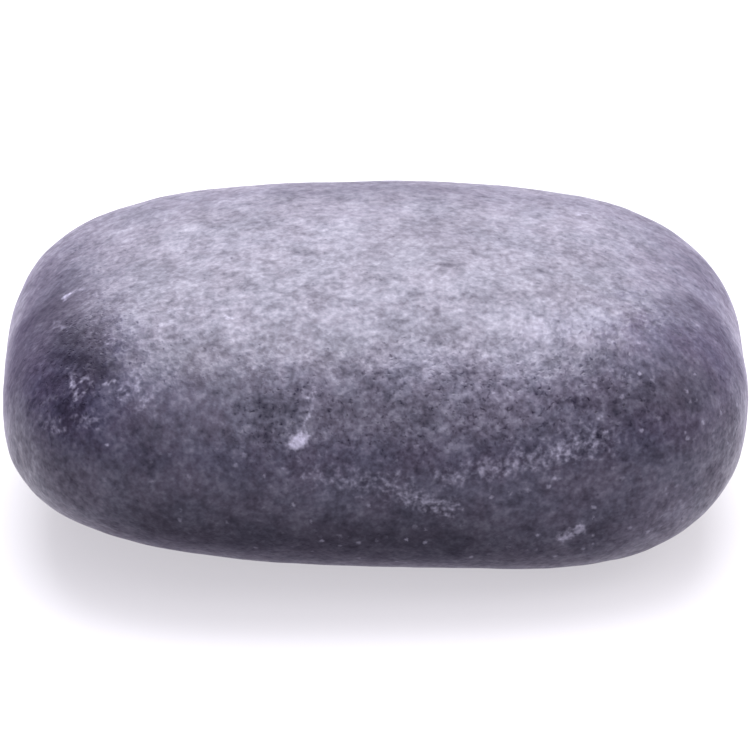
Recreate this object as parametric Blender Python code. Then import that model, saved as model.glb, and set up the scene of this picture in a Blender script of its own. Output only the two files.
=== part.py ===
"""Basalt massage stone: one solid pebble of basalt, ground and tumbled to a smooth, uneven pillow.

Metres, +Z up, +X along the stone and +Y towards its back. The origin lies at the centre of the
bounding box's bottom, in the plane of the small level foot that the stone rests on.
"""

import math

import bmesh
import bpy

# Overall sizes. The girdle is the stone's widest outline, level and between crown and belly.
LENGTH = 0.090
WIDTH = 0.062  # of the girdle at mid-length
CROWN_RISE = 0.0195  # from the girdle up to the top
BELLY_DROP = 0.0178  # from the girdle down to the lowest point, before the foot is worn level
FOOT_WEAR = 0.0006  # how much of the belly's lowest point is worn away to a level foot

# Fullness of each outline: 2 is an ellipse, and a larger value is fuller at the corners.
GIRDLE_FULLNESS = 3.25
CROWN_FULLNESS = 2.35
BELLY_FULLNESS = 2.55

# What a natural stone has of its own, so that no two quarters of it match.
CROWN_LEAN = -0.0010  # the top lies this far along X from mid-length
BELLY_LEAN = 0.0090  # the lowest point lies this far along X from mid-length
END_TAPER = -0.025  # share by which the width grows from mid-length to the +X end
BELLY_TWIST = 0.0055  # how far the belly is turned: its +X end to the front, its -X end to the back

CUBE_SIZE = 2.0  # the cube that is rounded into the stone has its corners at plus and minus 1
CELLS = 26  # squares along each edge of that cube
MERGE_DISTANCE = 1e-6  # a corner this near to the foot's plane counts as in it

STONE_COLOUR = (0.060, 0.057, 0.068, 1.0)
STONE_ROUGHNESS = 0.5
SHARP_ANGLE = math.radians(30)  # an edge that folds more than this is drawn sharp


def clear_scene():
    """Remove every object, so that only the stone is left at the end."""
    for old in list(bpy.data.objects):
        bpy.data.objects.remove(old, do_unlink=True)


def basalt_material():
    """Dark, faintly violet grey stone with a satin surface."""
    material = bpy.data.materials.new("basalt")
    material.use_nodes = True
    shader = material.node_tree.nodes["Principled BSDF"]
    shader.inputs["Base Color"].default_value = STONE_COLOUR
    shader.inputs["Roughness"].default_value = STONE_ROUGHNESS
    shader.inputs["Metallic"].default_value = 0.0
    return material


def evenly_spread(cube_point):
    """The direction of a point on a cube of side 2, warped so that the squares span equal angles."""
    warped = [math.tan(value * math.pi / 4) for value in cube_point]
    size = math.hypot(*warped)
    return [value / size for value in warped]


def unit_pebble(direction):
    """The point in this direction on a pebble of half-sizes 1.

    Its outline seen from above is |x|^g + |y|^g = 1, with g the girdle's fullness. Each upright
    section through its middle is r^f + |z|^f = 1, with f the crown's fullness or the belly's.
    """
    x, y, z = direction
    fullness = CROWN_FULLNESS if z >= 0 else BELLY_FULLNESS
    reach = (abs(x) ** GIRDLE_FULLNESS + abs(y) ** GIRDLE_FULLNESS) ** (1 / GIRDLE_FULLNESS)
    size = (reach**fullness + abs(z) ** fullness) ** (1 / fullness)
    return x / size, y / size, z / size


def stone_point(direction):
    """The unit pebble stretched to size, then leaned, tapered and twisted; both fade at the girdle."""
    x, y, z = unit_pebble(direction)
    above = z >= 0
    lean = CROWN_LEAN if above else BELLY_LEAN
    twist = 0.0 if above else BELLY_TWIST
    along = LENGTH / 2 * x + lean * z**2 * (1 - x**2)
    across = WIDTH / 2 * y * (1 + END_TAPER * x) - twist * x * z**2
    height = (CROWN_RISE if above else BELLY_DROP) * z
    return along, across, height


def wear_foot_level(bm):
    """Cut the lowest part of the belly off level and close the cut with one flat face."""
    cut = bmesh.ops.bisect_plane(
        bm,
        geom=bm.verts[:] + bm.edges[:] + bm.faces[:],
        dist=MERGE_DISTANCE,
        plane_co=(0, 0, FOOT_WEAR - BELLY_DROP),
        plane_no=(0, 0, 1),
        clear_inner=True,
    )
    rim = [item for item in cut["geom_cut"] if isinstance(item, bmesh.types.BMEdge)]
    bmesh.ops.edgeloop_fill(bm, edges=rim)


def stand_on_origin(bm):
    """Move the stone so that the origin is the centre of its bounding box's bottom."""
    lows = [min(vert.co[axis] for vert in bm.verts) for axis in range(3)]
    highs = [max(vert.co[axis] for vert in bm.verts) for axis in range(3)]
    middle = [(low + high) / 2 for low, high in zip(lows, highs)]
    bmesh.ops.translate(bm, verts=bm.verts, vec=(-middle[0], -middle[1], -lows[2]))


def make_stone(collection):
    """A cube divided into squares, each corner moved out to the stone's surface."""
    bm = bmesh.new()
    bmesh.ops.create_cube(bm, size=CUBE_SIZE)
    bmesh.ops.subdivide_edges(bm, edges=bm.edges[:], cuts=CELLS - 1, use_grid_fill=True)
    for vert in bm.verts:
        vert.co = stone_point(evenly_spread(vert.co))
    wear_foot_level(bm)
    stand_on_origin(bm)
    bmesh.ops.recalc_face_normals(bm, faces=bm.faces)

    mesh = bpy.data.meshes.new("stone")
    bm.to_mesh(mesh)
    bm.free()
    mesh.shade_smooth()
    mesh.set_sharp_from_angle(angle=SHARP_ANGLE)
    mesh.materials.append(basalt_material())
    stone = bpy.data.objects.new("stone", mesh)
    collection.objects.link(stone)
    return stone


clear_scene()
stone_parts = bpy.data.collections.new("basalt_massage_stone")
bpy.context.scene.collection.children.link(stone_parts)
make_stone(stone_parts)
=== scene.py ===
import math

import bpy
import numpy as np
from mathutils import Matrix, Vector


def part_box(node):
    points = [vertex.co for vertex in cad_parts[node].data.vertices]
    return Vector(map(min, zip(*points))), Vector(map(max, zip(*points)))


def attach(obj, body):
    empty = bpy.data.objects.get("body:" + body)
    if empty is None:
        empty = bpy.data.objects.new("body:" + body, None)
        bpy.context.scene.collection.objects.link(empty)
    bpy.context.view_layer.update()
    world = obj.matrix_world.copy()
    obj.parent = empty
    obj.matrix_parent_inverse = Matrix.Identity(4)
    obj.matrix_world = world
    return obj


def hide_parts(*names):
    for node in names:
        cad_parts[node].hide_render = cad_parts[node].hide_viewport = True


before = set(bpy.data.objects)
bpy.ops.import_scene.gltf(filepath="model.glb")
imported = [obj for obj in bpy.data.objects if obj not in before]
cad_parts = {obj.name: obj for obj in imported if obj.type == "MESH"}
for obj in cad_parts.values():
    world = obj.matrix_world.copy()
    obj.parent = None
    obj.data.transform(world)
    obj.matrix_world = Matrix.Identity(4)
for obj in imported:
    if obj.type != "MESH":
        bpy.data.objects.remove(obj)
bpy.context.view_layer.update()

# ---------------------------------------------------------------------------------- the stone
# One pebble of dense basalt, ground to a rounded block and tumbled in grit until it is smooth
# and satin all over. The lowest spot of its belly is worn level, and the stone rests on it.

MM = 0.001
stone_low, stone_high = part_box("stone")
twist_bulge = 0.1 * MM  # the twisted belly reaches this much past the girdle on each side
half_length = (stone_high.x - stone_low.x) / 2
half_width = (stone_high.y - stone_low.y) / 2 - twist_bulge
crown_rise = 19.5 * MM
girdle_height = stone_high.z - crown_rise
foot_wear = 0.6 * MM  # how much of the belly is worn away under the stone
belly_drop = girdle_height + foot_wear

# A fullness of 2 makes an ellipse, and a greater one a squarer outline.
girdle_fullness = 3.25
crown_fullness = 2.35
belly_fullness = 2.55
crown_lean = -1.0 * MM
belly_lean = 9.0 * MM
end_taper = -0.025
belly_twist = 5.5 * MM


def block_grid(divisions):
    """The six sides of a block as grids of two parameters, sewn into one closed skin.

    A side's parameters s and t run from -1 to 1. Its points are (tan(s pi/4), tan(t pi/4), 1) on
    their own axes, brought to length 1, so that neighbours are an equal angle apart.
    Returns the directions and the four corners of each square, in order seen from outside.
    """
    divisions = np.array(divisions)
    key_step = np.array([(divisions[1] + 1) * (divisions[2] + 1), divisions[2] + 1, 1])
    lattice, squares = [], []
    for axis in range(3):
        across, along = (axis + 1) % 3, (axis + 2) % 3
        steps_across, steps_along = np.meshgrid(
            np.arange(divisions[across] + 1), np.arange(divisions[along] + 1), indexing="ij"
        )
        for end in (0, divisions[axis]):
            side = np.empty(steps_across.shape + (3,), int)
            side[..., axis] = end
            side[..., across] = steps_across
            side[..., along] = steps_along
            keys = side @ key_step
            ring = [keys[:-1, :-1], keys[1:, :-1], keys[1:, 1:], keys[:-1, 1:]]
            if end == 0:
                ring.reverse()
            lattice.append(side.reshape(-1, 3))
            squares.append(np.stack(ring, axis=-1).reshape(-1, 4))
    lattice = np.concatenate(lattice)
    keys, first = np.unique(lattice @ key_step, return_index=True)
    corners = np.tan((2 * lattice[first] / divisions - 1) * math.pi / 4)
    directions = corners / np.linalg.norm(corners, axis=1, keepdims=True)
    return directions, np.searchsorted(keys, np.concatenate(squares))


def pebble(directions):
    """The smooth stone's surface point in each direction.

    On a pebble of half-sizes 1 the girdle is |x|^g + |y|^g = 1, and an upright section through the
    middle is r^f + |z|^f = 1, with f the crown's fullness or the belly's. It is then stretched to
    size, leaned by lean z^2 (1 - x^2), tapered in width, and its belly twisted by x z^2.
    """
    above = directions[:, 2] >= 0
    x, y, z = np.abs(directions).T
    fullness = np.where(above, crown_fullness, belly_fullness)
    reach = (x**girdle_fullness + y**girdle_fullness) ** (1 / girdle_fullness)
    size = (reach**fullness + z**fullness) ** (1 / fullness)
    x, y, z = (directions / size[:, None]).T
    lean = np.where(above, crown_lean, belly_lean)
    twist = np.where(above, 0.0, belly_twist)
    rise = np.where(above, crown_rise, belly_drop)
    return np.stack(
        [
            half_length * x + lean * z**2 * (1 - x**2),
            half_width * y * (1 + end_taper * x) - twist * x * z**2,
            girdle_height + rise * z,
        ],
        axis=1,
    )


def ripple(points, wavelength, waves, seed):
    """Uneven ground with a spread of 1: plane waves of about this length, crossing the stone in
    random directions with random phases, cos(k . p + phase), summed.
    """
    draw = np.random.default_rng(seed)
    heading = draw.normal(size=(waves, 3))
    heading /= np.linalg.norm(heading, axis=1, keepdims=True)
    pitch = 2 * math.pi / (wavelength * draw.uniform(0.75, 1.35, waves))
    phase = draw.uniform(0, 2 * math.pi, waves)
    return np.cos(points @ (heading * pitch[:, None]).T + phase).sum(axis=1) * math.sqrt(2 / waves)


grid_divisions = (188, 128, 80)  # squares along the length, the width and the height
directions, squares = block_grid(grid_divisions)
surface = pebble(directions)

mesh = bpy.data.meshes.new("basalt_stone")
mesh.from_pydata(surface.tolist(), [], squares.tolist())
mesh.update()
outward = np.empty(len(surface) * 3, np.float32)
mesh.vertices.foreach_get("normal", outward)
outward = outward.reshape(-1, 3).astype(float)


def near(points, start, end, radius):
    """How near each point is to the line from start to end: exp(-(distance / radius)^2), in mm."""
    start, end = np.array(start, float), np.array(end, float)
    along = end - start
    length_squared = max(float(along @ along), 1e-9)
    share = np.clip((points - start) @ along / length_squared, 0, 1)[:, None]
    offset = points - start - share * along
    return np.exp(-(offset**2).sum(axis=1) / radius**2)


# The block was never quite true: long swells and hollows are left from the grinding. Each runs
# from one point to another, in millimetres, with how far it reaches and how far it rises.
swells = (
    ((-39.0, 14.5, 28.0), (-37.0, 15.0, 29.0), 7.0, 0.50),
    ((-7.0, 17.0, 34.6), (0.5, 17.0, 34.6), 7.0, 0.34),
    ((15.7, 15.0, 34.6), (17.0, 15.0, 34.4), 6.0, -0.16),
    ((29.0, 14.0, 32.0), (35.0, 13.0, 30.0), 6.0, 0.22),
    ((-34.0, -26.0, 10.0), (-12.0, -28.5, 8.0), 7.0, -0.34),
    ((31.0, -26.0, 8.0), (37.0, -22.0, 10.0), 7.0, -0.16),
)
# Finer unevenness: how far it rises and its wavelength, in millimetres, its waves and its seed.
unevenness = (
    (0.040, 22.0, 40, 11),
    (0.030, 9.0, 80, 12),
    (0.014, 4.2, 120, 13),
    (0.006, 2.0, 160, 14),
)
smooth_mm = surface / MM
height = np.zeros(len(smooth_mm))
for rise, wavelength, waves, seed in unevenness:
    height += rise * ripple(smooth_mm, wavelength, waves, seed)
for start, end, reach, rise in swells:
    height += rise * near(smooth_mm, start, end, reach)

# Broken grains have left shallow dimples about a millimetre or two across, and one deep pit.
dimple_count = 110
dimple_depths = (0.03, 0.09)
dimple_radii = (0.5, 1.0)
draw = np.random.default_rng(31)
for place in draw.choice(len(smooth_mm), dimple_count, replace=False):
    spot = smooth_mm[place]
    depth = draw.uniform(*dimple_depths)
    height -= depth * near(smooth_mm, spot, spot, draw.uniform(*dimple_radii))
pit_place, pit_depth, pit_radius = (31.9, -23.1, 27.0), 0.30, 0.55
height -= pit_depth * near(smooth_mm, pit_place, pit_place, pit_radius)

surface = surface + outward * height[:, None] * MM
surface[:, 2] = np.maximum(surface[:, 2], 0.0)
mesh.vertices.foreach_set("co", surface.astype(np.float32).ravel())
mesh.shade_smooth()
mesh.update()


def paint(name, values):
    """Keep one number for each vertex under this name, for the finish to read."""
    layer = mesh.attributes.new(name, "FLOAT", "POINT")
    layer.data.foreach_set("value", values.astype(np.float32))


on_stone = surface / MM

# Pale mineral marks: where each starts and ends, its radius, and how strongly it shows.
bloom_marks = (
    ((-9.8, -29.9, 24.1), (-9.2, -29.8, 24.4), 0.80, 1.50),
    ((-9.2, -29.8, 24.5), (-8.5, -29.6, 25.1), 0.60, 1.05),
    ((-8.8, -29.5, 25.2), (-7.8, -26.8, 28.8), 0.80, 0.38),
    ((-7.9, -27.0, 28.6), (-7.8, -26.7, 28.9), 0.50, 0.80),
    ((-37.2, -3.2, 29.9), (-36.8, -3.2, 30.2), 0.7, 0.95),
    ((-36.7, -3.2, 30.3), (-35.0, -3.4, 31.0), 0.8, 0.42),
    ((-32.4, -22.4, 28.1), (-30.7, -22.9, 28.6), 0.30, 1.05),
    ((-36.3, -18.6, 28.0), (-35.8, -20.8, 27.2), 0.45, 0.64),
    ((-35.8, -20.8, 27.2), (-35.3, -21.9, 26.7), 0.52, 0.84),
    ((-35.3, -21.9, 26.7), (-34.3, -22.2, 27.1), 0.50, 0.70),
    ((-34.3, -22.2, 27.1), (-33.4, -21.3, 28.2), 0.45, 0.62),
    ((-33.6, -20.5, 28.5), (-34.9, -20.6, 27.9), 0.42, 0.58),
    ((-33.2, -15.2, 30.8), (-31.4, -17.8, 30.8), 0.8, 0.38),
    ((-38.4, -8.1, 29.0), (-36.7, -11.3, 29.7), 1.0, 0.32),
    ((-39.4, -21.0, 22.6), (-36.9, -23.9, 22.9), 0.9, 0.44),
    ((-35.3, -24.2, 24.4), (-32.7, -25.3, 25.0), 1.0, 0.46),
    ((-28.4, -22.4, 29.6), (-27.8, -26.0, 26.7), 1.0, 0.40),
    ((-29.6, -24.0, 28.2), (-27.5, -25.3, 28.0), 1.5, 0.42),
    ((-32.1, -27.0, 22.5), (-32.1, -27.0, 22.5), 0.32, 1.3),
    ((6.9, -30.7, 20.0), (12.0, -30.4, 20.8), 1.5, 0.45),
    ((12.0, -30.4, 20.8), (18.8, -29.6, 21.8), 1.8, 0.50),
    ((18.8, -29.6, 21.8), (25.6, -28.0, 23.3), 2.2, 0.48),
    ((-8.0, -30.4, 20.5), (3.0, -30.9, 18.6), 2.4, 0.34),
    ((3.0, -30.9, 17.6), (8.0, -30.8, 16.0), 1.5, 0.54),
    ((21.3, -29.3, 11.0), (23.4, -29.1, 11.7), 0.8, 0.85),
    ((24.4, 9.0, 34.2), (26.5, 10.2, 33.6), 0.5, 0.5),
    ((36.7, -24.0, 20.4), (36.7, -24.0, 20.4), 0.35, 1.0),
    ((32.2, -22.3, 27.7), (32.2, -22.3, 27.7), 0.35, 1.0),
    ((36.7, -21.7, 24.8), (37.2, -21.5, 24.6), 0.4, 0.8),
    ((20.4, -29.8, 19.1), (20.4, -29.8, 19.1), 0.32, 1.0),
    ((34.0, -26.0, 14.6), (34.0, -26.0, 14.6), 0.4, 0.9),
    ((12.3, -26.2, 28.9), (12.8, -26.3, 28.8), 0.25, 0.6),
    ((-17.8, -16.9, 34.1), (-16.6, -16.8, 34.3), 0.45, 0.34),
    ((26.8, -27.1, 7.8), (26.8, -27.1, 7.8), 0.4, 0.9),
)
# The marks' outlines wander by a fraction of a millimetre.
wander_reach, wander_wavelength = 0.18, 1.6
wander = np.stack([ripple(on_stone, wander_wavelength, 90, seed) for seed in (41, 42, 43)], axis=1)
ragged_place = on_stone + wander_reach * wander
bloom = np.zeros(len(on_stone))
for start, end, radius, strength in bloom_marks:
    bloom = np.maximum(bloom, strength * near(ragged_place, start, end, radius))

# A pale vein crosses the back, through the skin's nearest points to these, with spots about it.
back_vein = [(-25.0, 28.0, 14.0), (-12.0, 30.0, 17.5), (0.0, 31.0, 17.0), (13.0, 30.0, 21.5)]
vein_strength = 0.5
back_from = 23.0
back_spots = 14
draw = np.random.default_rng(47)
vein = [on_stone[np.argmin(((on_stone - point) ** 2).sum(axis=1))] for point in back_vein]
for start, end in zip(vein, vein[1:]):
    radius = draw.uniform(1.2, 2.2)
    bloom = np.maximum(bloom, vein_strength * near(ragged_place, start, end, radius))
back_places = np.flatnonzero(on_stone[:, 1] > back_from)
for place in draw.choice(back_places, back_spots, replace=False):
    start = on_stone[place]
    end = start + draw.normal(0, 0.7, 3)
    radius, strength = draw.uniform(0.3, 0.8), draw.uniform(0.5, 1.1)
    bloom = np.maximum(bloom, strength * near(ragged_place, start, end, radius))
paint("bloom", bloom)

# The most open ground is the front shoulder and a patch at the -X end; +X and the back have some.
pitting = 0.45 + np.maximum(
    0.60 * near(on_stone, (-12, -28.5, 26.5), (28, -25.5, 26.5), 5.5),
    0.85 * near(on_stone, (-36, -14, 29.5), (-36.5, -21, 26), 4.5),
)
pitting += 0.20 * near(on_stone, (38, -16, 27), (41, -19, 18), 6)
pitting += 0.50 * near(on_stone, (-16, 29, 22), (6, 31, 13), 7)
paint("pitting", pitting)

# Pale crystals show as points on the front below the shoulder, at the +X end and on the back.
flecks = 0.25 + 0.75 * np.maximum(
    near(on_stone, (-14, -30, 15), (28, -29, 14), 8),
    near(on_stone, (34, -23, 25), (42, -14, 14), 9),
)
flecks += 0.5 * near(on_stone, (-20, 28, 14), (20, 28, 14), 12)
paint("flecks", flecks)

# Lighter and darker ground, partly the ground's own tone and partly painted light and shade: painted
# shade darkens the belly under the stone, the rims at both ends and the patch at the -X end, and the
# lighter and darker patches on the crown and the front shoulder are painted highlight and painted shade
# along the highlight's edge. From where to where, how far it reaches, and by what share it is lighter.
tone_and_painted_light_patches = (
    ((-38.2, -3.8, 29.4), (-35.6, -13.0, 29.9), 3.2, -0.42),
    ((-36.5, -14.0, 29.2), (-33.3, -20.3, 29.0), 3.0, -0.36),
    ((-37.8, -19.0, 26.4), (-37.1, -22.4, 24.6), 3.0, -0.30),
    ((-43.0, -12.0, 23.0), (-42.8, -4.0, 24.6), 4.0, -0.60),
    ((-38.8, -8.5, 28.5), (-38.4, -12.0, 28.4), 2.4, -0.20),
    ((-33.6, -17.6, 29.9), (-33.2, -20.0, 29.2), 2.2, -0.24),
    ((-40.2, -3.0, 27.8), (-38.2, 1.0, 29.2), 4.0, -0.30),
    ((-34.5, 6.0, 31.3), (-25.0, 1.0, 34.0), 4.0, 0.14),
    ((-24.6, 4.5, 34.6), (-16.6, 7.5, 35.8), 3.0, -0.14),
    ((17.4, -8.5, 35.5), (17.3, -12.7, 34.9), 2.2, -0.12),
    ((-9.0, 13.0, 35.7), (9.0, 13.0, 35.6), 5.0, -0.28),
    ((2.0, -6.0, 36.6), (9.2, 1.5, 36.5), 4.5, -0.18),
    ((-26.0, -28.8, 11.0), (8.5, -30.0, 10.0), 6.4, -0.62),
    ((17.0, -29.0, 9.5), (25.0, -28.0, 9.5), 4.5, -0.28),
    ((33.0, -25.8, 10.0), (36.0, -24.0, 11.0), 3.0, 0.36),
    ((-9.0, -30.8, 18.0), (-3.0, -31.0, 17.5), 2.6, 0.12),
    ((8.5, -30.8, 18.8), (13.0, -30.5, 18.8), 2.2, 0.16),
    ((28.3, -25.2, 26.6), (38.6, -18.6, 25.8), 2.6, -0.37),
    ((20.0, -18.8, 32.7), (31.0, -16.5, 31.1), 3.4, 0.35),
    ((2.0, -24.4, 30.9), (17.6, -25.3, 29.3), 2.6, 0.32),
    ((4.8, -22.8, 31.6), (16.5, -22.2, 31.7), 2.0, 0.16),
    ((-4.1, -21.8, 32.4), (-4.1, -21.8, 32.4), 1.6, -0.18),
    ((-18.0, -15.5, 34.2), (-29.0, -17.5, 31.8), 3.0, 0.18),
    ((-28.8, -23.3, 29.0), (-23.0, -24.9, 29.3), 2.0, 0.14),
    ((-23.1, -22.6, 30.8), (-17.0, -25.8, 29.4), 2.4, -0.14),
    ((-10.0, -25.0, 30.4), (-8.0, -26.5, 29.0), 2.2, 0.30),
    ((-4.5, -29.6, 23.8), (-3.5, -29.9, 22.8), 2.2, 0.16),
    ((-13.0, -27.9, 27.4), (5.0, -28.1, 27.2), 2.4, -0.22),
    ((-28.8, -27.6, 24.0), (-24.8, -28.8, 23.0), 3.0, -0.16),
    ((29.6, 1.2, 33.1), (40.5, 0.5, 27.2), 4.0, 0.20),
    ((30.0, -9.0, 32.6), (32.0, -6.0, 32.3), 2.8, 0.16),
    ((38.6, -5.0, 28.9), (43.3, -11.0, 23.0), 3.0, -0.38),
    ((18.0, 7.0, 35.5), (21.0, 6.0, 35.3), 4.0, 0.18),
    ((-6.0, -30.6, 20.0), (14.0, -30.3, 20.0), 3.4, 0.18),
    ((24.0, -28.4, 23.5), (26.0, -28.0, 21.0), 2.6, -0.12),
)
tone_and_painted_light = np.zeros(len(on_stone))
for start, end, reach, share in tone_and_painted_light_patches:
    tone_and_painted_light += share * near(on_stone, start, end, reach)
paint("tone_and_painted_light", tone_and_painted_light)

# The colours of the ground, of the mineral in it, and of the light and dust on its polish.
reddish_ground = (0.0238, 0.0180, 0.0370, 1.0)
bluish_ground = (0.0205, 0.0188, 0.0380, 1.0)
felspar_ground = (0.0262, 0.0245, 0.0370, 1.0)
bloom_colour = (0.22, 0.21, 0.27)
specular_tint = (0.74, 0.69, 1.0, 1.0)
dust_colour = (0.60, 0.42, 1.0, 1.0)
dusting = 0.07

# The texture's sizes, in millimetres, and how many times as long as wide a lath is.
lath_size = 0.38
lath_stretch = 2.4
grain_size = 0.66
clot_size = 1.5
mottle_size = 3.2
patch_size = 7.5
fleck_spacing = 1.1
pore_spacing = 0.80
pluck_size = 0.50
hue_size = 1.1
hue_patch_size = 5.0

# How strongly it shows: light against dark, the painted shade in the pores against the ground, and the
# polish.
ground_contrast = 0.38
pore_painted_shade = 0.66
pore_depth = 0.05  # millimetres
satin_roughness = 0.42
polish_mean = 0.595
polish_spread = 0.19


def basalt_finish():
    """Satin basalt: a dark violet-grey ground, felted with pale felspar laths and open with pores.

    Everything is a pattern on the stone's own coordinates in millimetres. The vertex attributes
    bloom, flecks, pitting and tone say where pale mineral has come through, where pale crystals
    show, where the surface is pitted, and where the ground is lighter or darker, partly by its own
    tone and partly by painted light and shade.
    """
    material = bpy.data.materials.new("basalt")
    material.use_nodes = True
    nodes, links = material.node_tree.nodes, material.node_tree.links
    shader = nodes["Principled BSDF"]

    def feed(socket, value):
        if isinstance(value, bpy.types.NodeSocket):
            links.new(value, socket)
        else:
            socket.default_value = value

    def maths(operation, *values, clamp=False):
        node = nodes.new("ShaderNodeMath")
        node.operation = operation
        node.use_clamp = clamp
        for socket, value in zip(node.inputs, values):
            feed(socket, value)
        return node.outputs[0]

    def mixture(*shares):
        """The weighted sum of (value, weight) pairs."""
        total = 0.0
        for value, weight in shares:
            total = maths("MULTIPLY_ADD", value, weight, total)
        return total

    def ramp(value, low, high, out_low=0.0, out_high=1.0):
        node = nodes.new("ShaderNodeMapRange")
        node.interpolation_type = "SMOOTHSTEP"
        for socket, number in zip(node.inputs, (value, low, high, out_low, out_high)):
            feed(socket, number)
        return node.outputs[0]

    def attribute(name):
        node = nodes.new("ShaderNodeAttribute")
        node.attribute_name = name
        return node.outputs["Fac"]

    def noise(size, detail, roughness, place):
        node = nodes.new("ShaderNodeTexNoise")
        feed(node.inputs["Vector"], place)
        node.inputs["Scale"].default_value = 1 / size
        node.inputs["Detail"].default_value = detail
        node.inputs["Roughness"].default_value = roughness
        return node

    coordinates = nodes.new("ShaderNodeTexCoord").outputs["Object"]

    def turned(turn, stretch):
        """The stone's coordinates in millimetres, drawn out along one turned axis."""
        node = nodes.new("ShaderNodeMapping")
        node.vector_type = "TEXTURE"
        feed(node.inputs["Vector"], coordinates)
        node.inputs["Rotation"].default_value = turn
        node.inputs["Scale"].default_value = (stretch * MM, MM, MM)
        return node.outputs[0]

    millimetres = turned((0, 0, 0), 1)

    def cloud(size, detail, roughness, place=millimetres):
        """Soft noise of this size in millimetres, about 0 with a spread of about 1."""
        return maths("MULTIPLY_ADD", noise(size, detail, roughness, place).outputs["Fac"], 7, -3.5)

    def ragged(size, reach):
        """Coordinates shaken by this many millimetres, so that what reads them has ragged edges."""
        shake = nodes.new("ShaderNodeVectorMath")
        shake.operation = "MULTIPLY_ADD"
        feed(shake.inputs[0], noise(size, 1, 0.5, millimetres).outputs["Color"])
        shake.inputs[1].default_value = (reach, reach, reach)
        feed(shake.inputs[2], millimetres)
        return shake.outputs[0]

    def cells(size, place):
        """Distance to the nearest of scattered points this far apart, and a random number each."""
        node = nodes.new("ShaderNodeTexVoronoi")
        feed(node.inputs["Vector"], place)
        node.inputs["Scale"].default_value = 1 / size
        split = nodes.new("ShaderNodeSeparateColor")
        feed(split.inputs[0], node.outputs["Color"])
        return node.outputs["Distance"], split.outputs[0]

    # Felspar laths lie every way in the ground, each over the ones below it.
    laths = maths(
        "MAXIMUM",
        maths(
            "MAXIMUM",
            cloud(lath_size, 1, 0.5, turned((0.3, 0.4, 0.5), lath_stretch)),
            cloud(lath_size, 1, 0.5, turned((0.2, -0.3, -0.9), lath_stretch)),
        ),
        cloud(lath_size, 1, 0.5, turned((0.9, 0.2, 1.7), lath_stretch)),
    )
    felt = maths("SUBTRACT", laths, 0.8)
    grain = cloud(grain_size, 1, 0.5)
    clots = cloud(clot_size, 1, 0.5)
    mottle = cloud(mottle_size, 1, 0.5)
    patches = cloud(patch_size, 1, 0.5)
    coarse = mixture((patches, 0.28), (mottle, 0.36), (clots, 0.46))
    fine = mixture((grain, 0.68), (felt, 0.28))
    pitting = attribute("pitting")
    ground = maths(
        "ADD",
        maths("MULTIPLY", fine, maths("MULTIPLY_ADD", pitting, 0.66, 0.50)),
        maths("MULTIPLY", coarse, maths("MULTIPLY_ADD", pitting, 0.55, 0.75)),
    )

    # Crystals stand out as scattered pale points.
    fleck_distance, fleck_chance = cells(fleck_spacing, ragged(0.4, 0.5))
    fleck = maths(
        "MULTIPLY", ramp(fleck_distance, 0.38, 0.06), ramp(fleck_chance, 0.76, 1.0, 0.0, 0.6)
    )
    fleck = maths("MULTIPLY", fleck, attribute("flecks"))

    # Gas pores cut open by the grinding: holes from a fifth to half a millimetre across,
    # darkened by painted shade.
    torn = ragged(0.4, 0.5)

    def pores(spacing, least_chance, largest):
        distance, chance = cells(spacing, torn)
        size = maths("MULTIPLY", ramp(chance, least_chance, 1.0, 0.0, largest), pitting)
        return ramp(maths("SUBTRACT", distance, size), 0.18, -0.24)

    # Between them the grinding has plucked grains out, which leaves small curled pits.
    loose = cloud(pluck_size, 1, 0.5, ragged(0.4, 0.2))
    plucked = maths("MULTIPLY", ramp(loose, -0.3, -2.5), ramp(pitting, 0.3, 1.1))
    pore = maths("MAXIMUM", plucked, maths("MULTIPLY", pores(pore_spacing, 0.55, 0.34), 0.6))

    # Pale mineral bloom, broken up at its edges by the grain.
    bloom = maths("ADD", attribute("bloom"), mixture((grain, 0.13), (felt, 0.06)))
    bloom_cover = maths("MAXIMUM", ramp(bloom, 0.18, 1.25), fleck)

    # The tone attribute holds the ground's own tone and painted light and shade; it lightens or darkens
    # the colour here.
    tone_and_painted_light = maths("ADD", attribute("tone_and_painted_light"), 1.0)
    shade = maths("MULTIPLY", tone_and_painted_light, maths("EXPONENT", maths("MULTIPLY", ground, ground_contrast)))
    # Pores and plucked pits are painted darker: painted shade in the holes.
    shade = maths("MULTIPLY", shade, maths("MULTIPLY_ADD", pore, -pore_painted_shade, 1.0))

    def tinted(colour, amount):
        node = nodes.new("ShaderNodeVectorMath")
        node.operation = "SCALE"
        feed(node.inputs[0], colour)
        feed(node.inputs["Scale"], amount)
        return node.outputs[0]

    def blended(share, one, other):
        node = nodes.new("ShaderNodeMix")
        node.data_type = "RGBA"
        for socket, value in zip((node.inputs[0], node.inputs[6], node.inputs[7]), (share, one, other)):
            feed(socket, value)
        return node.outputs[2]

    # The ground drifts between a redder and a bluer violet, and the paler it is, the greyer.
    drift = mixture((cloud(hue_size, 1, 0.5), 0.6), (cloud(hue_patch_size, 0, 0.5), 0.8))
    hue = ramp(drift, -1.5, 1.5)
    violet = blended(hue, reddish_ground, bluish_ground)
    pale = tinted(bloom_colour, maths("EXPONENT", maths("MULTIPLY", ground, 0.2)))
    dark = tinted(blended(ramp(ground, -0.5, 2.5), violet, felspar_ground), shade)
    feed(shader.inputs["Base Color"], blended(bloom_cover, dark, pale))

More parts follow.
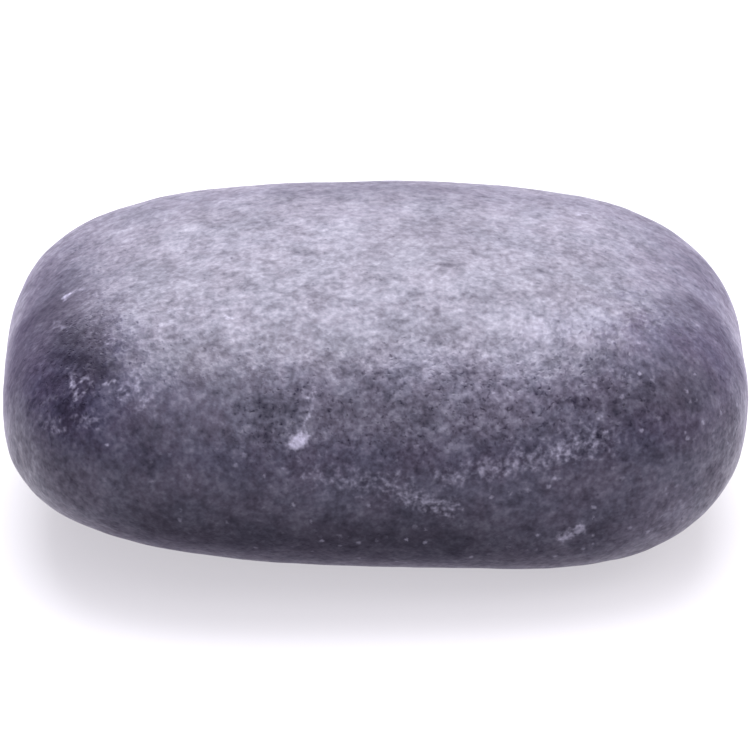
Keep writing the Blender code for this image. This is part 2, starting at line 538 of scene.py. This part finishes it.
    # Where the tone darkens the ground, by its own tone or by painted shade, it is also made less
    # polished, and so rougher.
    unpolished = maths("SUBTRACT", 1.0, tone_and_painted_light)
    rough = mixture((ground, -0.02), (pore, 0.25), (bloom_cover, 0.1), (unpolished, 0.3))
    rough = maths("ADD", rough, satin_roughness)
    feed(shader.inputs["Roughness"], maths("MAXIMUM", rough, 0.2))
    shader.inputs["IOR"].default_value = 1.2
    shader.inputs["Specular Tint"].default_value = specular_tint
    shader.inputs["Sheen Weight"].default_value = dusting
    shader.inputs["Sheen Roughness"].default_value = 0.5
    shader.inputs["Sheen Tint"].default_value = dust_colour

    # The tumbler polishes the hard pale grains more than the ground between them.
    polish = mixture((ground, polish_spread), (fleck, 0.1), (pore, -0.5), (polish_mean, 1.0))
    # The tone, its painted light and shade included, also scales the coat.
    feed(shader.inputs["Coat Weight"], maths("MULTIPLY", polish, tone_and_painted_light, clamp=True))
    shader.inputs["Coat Roughness"].default_value = satin_roughness
    shader.inputs["Coat IOR"].default_value = 1.6

    bump = nodes.new("ShaderNodeBump")
    bump.inputs["Strength"].default_value = 1.0
    bump.inputs["Distance"].default_value = MM
    relief = mixture((felt, 0.003), (grain, 0.006), (clots, 0.008), (pore, -pore_depth))
    feed(bump.inputs["Height"], relief)
    feed(shader.inputs["Normal"], bump.outputs[0])
    feed(shader.inputs["Coat Normal"], bump.outputs[0])
    return material


mesh.materials.append(basalt_finish())

stone = bpy.data.objects.new("basalt_stone", mesh)
bpy.context.scene.collection.objects.link(stone)
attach(stone, "root")
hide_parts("stone")

# ---------------------------------------------------------------------------------- the studio
# A pale table that glows a little, so that only a soft shadow shows on it. Three softboxes hang
# over the stone from overhead to low behind it, with a card behind them, two cards in front and
# one at +X. The camera looks down at the front.

centre = (stone_low + stone_high) / 2
table_reach = 3.0
table_glow = 0.55
light_distance = 0.90


def flat_sheet(name, middle, across, up):
    """A flat rectangle: middle + s across + t up, with s and t from -1 to 1."""
    corners = [middle + s * across + t * up for s, t in ((-1, -1), (1, -1), (1, 1), (-1, 1))]
    sheet = bpy.data.meshes.new(name)
    sheet.from_pydata([tuple(c) for c in corners], [], [(0, 1, 2, 3)])
    made = bpy.data.objects.new(name, sheet)
    bpy.context.scene.collection.objects.link(made)
    return made


table = flat_sheet(
    "table", Vector((0, 0, 0)), Vector((table_reach, 0, 0)), Vector((0, table_reach, 0))
)
table_paint = bpy.data.materials.new("table_white")
table_paint.use_nodes = True
table_shader = table_paint.node_tree.nodes["Principled BSDF"]
table_shader.inputs["Base Color"].default_value = (0.25, 0.25, 0.25, 1.0)
table_shader.inputs["Emission Color"].default_value = (0.97, 0.94, 1.0, 1.0)
table_shader.inputs["Emission Strength"].default_value = table_glow
table_shader.inputs["Roughness"].default_value = 0.9
table_shader.inputs["Specular IOR Level"].default_value = 0.1
table.data.materials.append(table_paint)


def softbox(name, azimuth, elevation, width, length, radiance, colour):
    """An area light in this direction from the stone, facing it, that no camera sees.

    Azimuth is in degrees round from the front, by way of +X; radiance 1 is a white card's.
    """
    round_by, up_by = math.radians(azimuth), math.radians(elevation)
    towards = Vector(
        (
            math.sin(round_by) * math.cos(up_by),
            -math.cos(round_by) * math.cos(up_by),
            math.sin(up_by),
        )
    )
    lamp = bpy.data.lights.new(name, "AREA")
    lamp.shape = "RECTANGLE"
    lamp.size, lamp.size_y = width, length
    lamp.energy = radiance * math.pi * width * length
    lamp.color = colour
    box = bpy.data.objects.new(name, lamp)
    box.location = centre + towards * light_distance
    box.rotation_mode = "QUATERNION"
    box.rotation_quaternion = towards.to_track_quat("Z", "Y")
    box.visible_camera = False
    bpy.context.scene.collection.objects.link(box)


cool_white = (0.95, 0.942, 1.0)
warm_white = (1.0, 0.95, 0.94)
softbox("top_softbox", 180, 68, 0.80, 0.70, 8.7, cool_white)
softbox("top_softbox_front", 180, 88, 0.80, 0.40, 7.3, cool_white)
softbox("top_softbox_back", 180, 38, 0.90, 0.40, 6.4, cool_white)
softbox("back_card", 180, 16, 1.40, 0.30, 2.5, cool_white)
softbox("front_card_high", 0, 60, 0.90, 0.50, 3.5, cool_white)
softbox("front_card_low", 0, 28, 1.20, 0.40, 3.0, cool_white)
softbox("right_card", 90, 30, 0.90, 0.70, 2.3, warm_white)

world = bpy.data.worlds.new("studio_white")
bpy.context.scene.world = world
world.use_nodes = True
surroundings = world.node_tree.nodes["Background"]
surroundings.inputs["Color"].default_value = (0.84, 0.74, 1.0, 1.0)
surroundings.inputs["Strength"].default_value = 0.26

camera_distance = 0.6
camera_elevation = math.radians(28)
camera_azimuth = math.radians(-1.23)
camera_view_width = 91.24 * MM
aim_below_centre = 1.1 * MM
back = Vector(
    (
        math.sin(camera_azimuth) * math.cos(camera_elevation),
        -math.cos(camera_azimuth) * math.cos(camera_elevation),
        math.sin(camera_elevation),
    )
)
lens = bpy.data.cameras.new("camera")
lens.sensor_width = 36
lens.lens = lens.sensor_width * camera_distance / camera_view_width
camera = bpy.data.objects.new("camera", lens)
camera.rotation_mode = "QUATERNION"
camera.rotation_quaternion = (-back).to_track_quat("-Z", "Y")
camera_up = camera.rotation_quaternion @ Vector((0, 1, 0))
camera.location = centre + back * camera_distance - camera_up * aim_below_centre
bpy.context.scene.collection.objects.link(camera)
bpy.context.scene.camera = camera
bpy.context.scene.view_settings.view_transform = "Standard"
